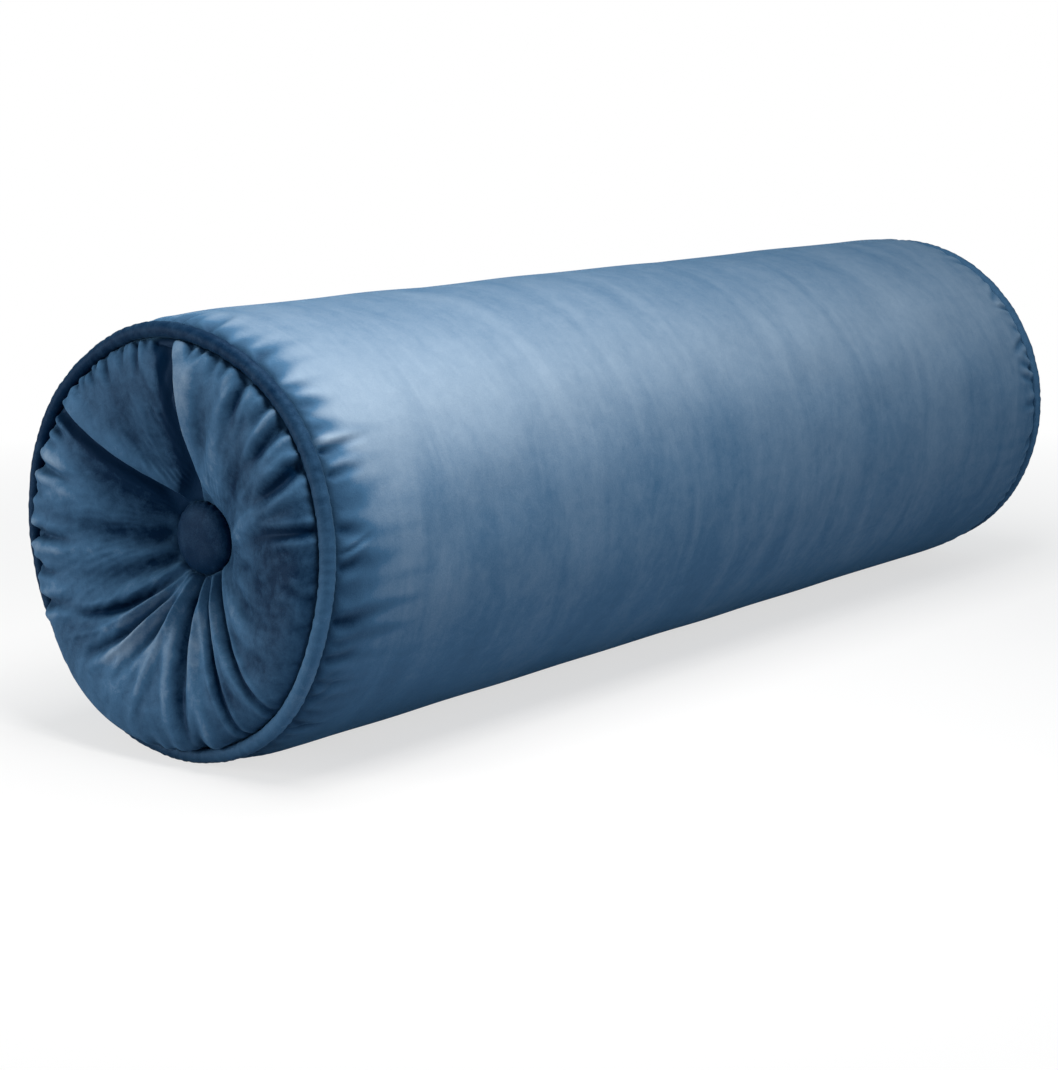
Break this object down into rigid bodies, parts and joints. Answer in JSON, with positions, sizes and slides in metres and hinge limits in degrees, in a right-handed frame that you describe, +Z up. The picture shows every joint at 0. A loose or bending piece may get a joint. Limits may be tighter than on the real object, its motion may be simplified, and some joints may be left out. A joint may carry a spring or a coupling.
{
  "type": "lumbar support cushion",
  "caption": "Round velvet bolster cushion with piped, gathered and button-tufted ends, a foam and fibre insert, and a zip along the back.",
  "frame": {"origin": "centre of the underside, on the floor the cushion lies on", "axes": "+X along the length, +Y towards the back with the zip, +Z up"},
  "size_m": [0.642, 0.198, 0.196],
  "materials": {
    "velvet": "matte",
    "piping_cord": "matte",
    "thread": "matte",
    "button_metal": "satin",
    "button_wire": "satin",
    "backing_plastic": "matte",
    "casing_cloth": "matte",
    "foam": "matte",
    "fibre": "matte",
    "zip_tape": "matte",
    "zip_coil": "satin",
    "zip_metal": "satin"
  },
  "bodies": {
    "cushion": {"cover_body": "velvet", "end_panel_left": "velvet", "end_panel_right": "velvet", "piping_cover_left": "velvet", "piping_cover_right": "velvet", "piping_cord_left": "piping_cord", "piping_cord_right": "piping_cord", "gather_thread_left": "thread", "gather_thread_right": "thread", "button_cover_left": "velvet", "button_cover_right": "velvet", "button_shell_left": "button_metal", "button_shell_right": "button_metal", "button_back_left": "button_metal", "button_back_right": "button_metal", "button_shank_left": "button_wire", "button_shank_right": "button_wire", "button_twine_left": "thread", "button_twine_right": "thread", "backing_button_left": "backing_plastic", "backing_button_right": "backing_plastic", "casing_sleeve": "casing_cloth", "casing_end_left": "casing_cloth", "casing_end_right": "casing_cloth", "foam_core": "foam", "fibre_wrap": "fibre", "end_pad_left": "fibre", "end_pad_right": "fibre", "zip_tape_upper": "zip_tape", "zip_tape_lower": "zip_tape", "zip_coil_upper": "zip_coil", "zip_coil_lower": "zip_coil", "zip_top_stops": "zip_metal", "zip_bottom_stop": "zip_metal"},
    "slider": {"zip_slider": "zip_metal"},
    "pull": {"zip_pull": "zip_metal"}
  },
  "joints": [
    {"name": "zip_slide", "type": "slide", "parent": "cushion", "child": "slider", "axis": [1, 0, 0], "range_m": [0, 0.428]},
    {"name": "pull_hinge", "type": "hinge", "parent": "slider", "child": "pull", "pos_m": [-0.2129, 0.09172, 0.13977], "axis": [0, -0.4226, 0.9063], "range_deg": [0, 170]}
  ]
}
